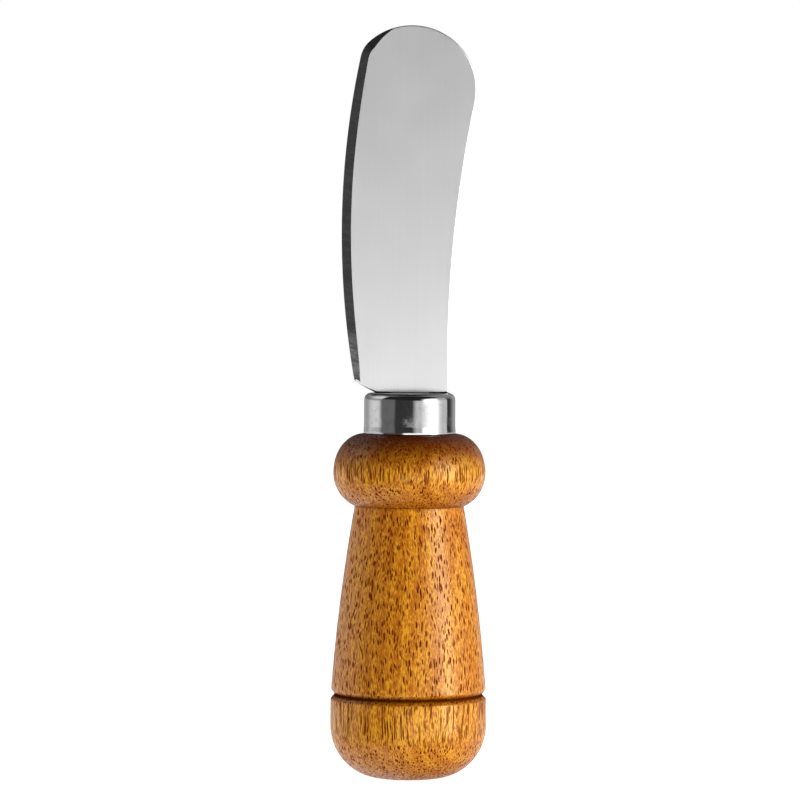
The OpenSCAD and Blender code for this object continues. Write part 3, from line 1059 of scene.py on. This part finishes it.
class KNIFE_OT_finish_adhesive(KnifeOperator):
    """Give the adhesive in the handle its finish"""

    bl_idname = "butter_knife.finish_adhesive"
    bl_label = "Finish adhesive"

    def execute(self, context):
        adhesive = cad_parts["tang_adhesive"]
        material = adhesive_material(context.scene.butter_knife.finishes)
        adhesive.data.materials.clear()
        adhesive.data.materials.append(material)
        return {"FINISHED"}


def floor_material():
    """Pale matt paper that shows the faintest shade where the knife stands."""
    material, graph = new_material("Pale floor")
    mottle = graph.noise(millimetres(graph), 3.0, 0.02)
    graph.finish_shader(
        Base_Color=graph.mix(mottle, (0.55, 0.55, 0.55), (0.62, 0.62, 0.62)),
        Roughness=0.9,
        Specular_IOR_Level=0.0,
        Emission_Color=(1.0, 1.0, 1.0, 1.0),
        Emission_Strength=0.97,
    )
    return material


def studio_light(scene):
    """One tall softbox on the right, a pale wall on the left, a pale table with a dark card at its front
    left, and dark space in front and overhead."""
    world = bpy.data.worlds.new("Studio light")
    world.use_nodes = True
    scene.world = world
    graph = Graph(world.node_tree)
    x, y, z = graph.parts(graph.term("ShaderNodeTexCoord", output="Generated"))
    # Degrees across, 0 in front of the knife and growing to the right, and degrees up from its level
    degrees = math.degrees(1)
    across = graph.math("ARCTAN2", x, -y) * degrees
    up = graph.math("ARCSINE", z) * degrees

    # The walls: pale on the left with a dimmer belt, dim at the front left and right back, darker behind
    left = graph.step(across, -74, -86) * (1.28 - graph.step(across, -104, -140) * 0.75)
    left = left * (1.0 - graph.band(up, 4, 22, 6, 8) * 0.55)
    front_left = graph.step(across, -84, -74) * graph.step(across, -34, -42) * 0.2
    right_back = graph.step(across, 118, 150) * 0.48
    behind = graph.step(graph.math("ABSOLUTE", across), 152, 172) * 0.65
    wall = (left + right_back) * (1.0 - behind) + front_left + 0.07
    # Above them it is dark in front and dim behind, and over the left wall this starts higher
    overhead = graph.step(up - graph.step(across, -70, -84) * 34, 12, 26)
    ceiling = graph.step(y, -0.05, 0.12) * 0.4 + 0.03
    above = wall + (ceiling - wall) * overhead
    # The table: pale, brighter in front near the level and far down on the left, dark where the card lies
    below = graph.step(up, -2, -5)
    glow = graph.band(across, -16, 80, 12, 20) * graph.step(up, -20, -10) * 1.6
    card = graph.band(across, -72, -16, 10, 12) * graph.step(up, -34, -24) * 0.88
    deep = graph.step(up, -28, -40) * graph.step(across, 30, -40, -0.4, 0.6)
    room = above + (glow + deep + 1.0 - card - above) * below
    # The softbox: low in front and tall at the side, dimmer towards both ends, with a bright core and sheen
    softbox = graph.math("MAXIMUM", graph.step(across, 2, 58), graph.step(across, 3, 20) * 0.45)
    softbox = softbox * graph.step(across, 66, 92, 1, 0.45) * graph.step(across, 107, 112, 1, 0)
    level = graph.band(up, -12, 10, 8, 8)
    aside = graph.step(across, 20, 62)
    softbox = softbox * 2.5 * (aside * 0.75 + level * (1.0 - aside * 0.75))
    softbox = softbox * graph.step(up, -50, -38) * graph.step(up, 30, 42, 1, 0)
    core = graph.band(across, 54, 72, 12, 12) * graph.band(up, -10, 22, 8, 8) * 5.0
    sheen = graph.band(across, 36, 60, 14, 12) * graph.band(up, 5, 24, 6, 8) * 3.0
    light = graph.math("MAXIMUM", room, softbox + core + sheen)
    # The camera itself sees plain white
    camera = graph.term("ShaderNodeLightPath", output="Is Camera Ray")
    background = world.node_tree.nodes["Background"]
    graph.feed(background, "Strength", light + (1.0 - light) * camera)
    background.inputs["Color"].default_value = (1, 1, 1, 1)


def place_camera(scene, stage):
    """A camera in front of the knife that looks slightly down, with its plain view settings."""
    aim = Vector((stage.aim_across, 0, stage.aim_height))
    away = Vector((0, -math.cos(stage.elevation), math.sin(stage.elevation)))
    camera = bpy.data.objects.new("Camera", bpy.data.cameras.new("Camera"))
    camera.data.lens = stage.lens
    camera.data.clip_start = 10 * MM
    camera.data.clip_end = 20
    turn = (-away).to_track_quat("-Z", "Y") @ Quaternion((0, 0, 1), stage.roll)
    camera.matrix_world = Matrix.Translation(aim + away * stage.distance) @ turn.to_matrix().to_4x4()
    scene.collection.objects.link(camera)
    scene.camera = camera
    scene.view_settings.view_transform = "Standard"


def make_floor(scene, radius):
    """A round pale floor just under the knife. The knife neither mirrors it nor is shaded by it."""
    drop = 0.2 * MM
    work = bmesh.new()
    bmesh.ops.create_circle(work, cap_ends=True, segments=96, radius=radius)
    mesh = bpy.data.meshes.new("floor")
    work.to_mesh(mesh)
    work.free()
    mesh.transform(Matrix.Translation((0, 0, -drop)))
    mesh.materials.append(floor_material())
    floor = bpy.data.objects.new("floor", mesh)
    floor.visible_diffuse = False
    floor.visible_glossy = False
    floor.visible_transmission = False
    floor.visible_shadow = False
    scene.collection.objects.link(floor)


class KNIFE_OT_make_stage(KnifeOperator):
    """Place the camera, the light and the floor"""

    bl_idname = "butter_knife.make_stage"
    bl_label = "Make stage"

    def execute(self, context):
        scene = context.scene
        stage = scene.butter_knife.stage
        place_camera(scene, stage)
        make_floor(scene, stage.floor_radius)
        studio_light(scene)
        return {"FINISHED"}


class KNIFE_PT_sidebar(bpy.types.Panel):
    """The knife's sizes, finishes and steps"""

    bl_label = "Butter Knife"
    bl_idname = "KNIFE_PT_sidebar"
    bl_space_type = "VIEW_3D"
    bl_region_type = "UI"
    bl_category = "Butter Knife"

    def draw(self, context):
        knife = context.scene.butter_knife
        for operator in OPERATORS:
            self.layout.operator(operator.bl_idname)
        for part in properties(knife):
            box = self.layout.box()
            box.label(text=part.name)
            settings = getattr(knife, part.identifier)
            for setting in properties(settings):
                box.prop(settings, setting.identifier)


OPERATORS = (
    KNIFE_OT_make_stage,
    KNIFE_OT_turn_handle,
    KNIFE_OT_draw_ferrule,
    KNIFE_OT_grind_blade,
    KNIFE_OT_finish_adhesive,
)
SETTINGS = (HandleSizes, FerruleSizes, BladeSizes, Finishes, StageSettings, KnifeSettings)
CLASSES = (*SETTINGS, *OPERATORS, KNIFE_PT_sidebar)


def register():
    for each in CLASSES:
        bpy.utils.register_class(each)
    bpy.types.Scene.butter_knife = PointerProperty(type=KnifeSettings)


def unregister():
    del bpy.types.Scene.butter_knife
    for each in reversed(CLASSES):
        bpy.utils.unregister_class(each)


def main():
    """Builds the knife and its stage."""
    register()
    bpy.ops.butter_knife.make_stage()
    bpy.ops.butter_knife.turn_handle()
    bpy.ops.butter_knife.draw_ferrule()
    bpy.ops.butter_knife.grind_blade()
    bpy.ops.butter_knife.finish_adhesive()


if __name__ == "__main__":
    main()
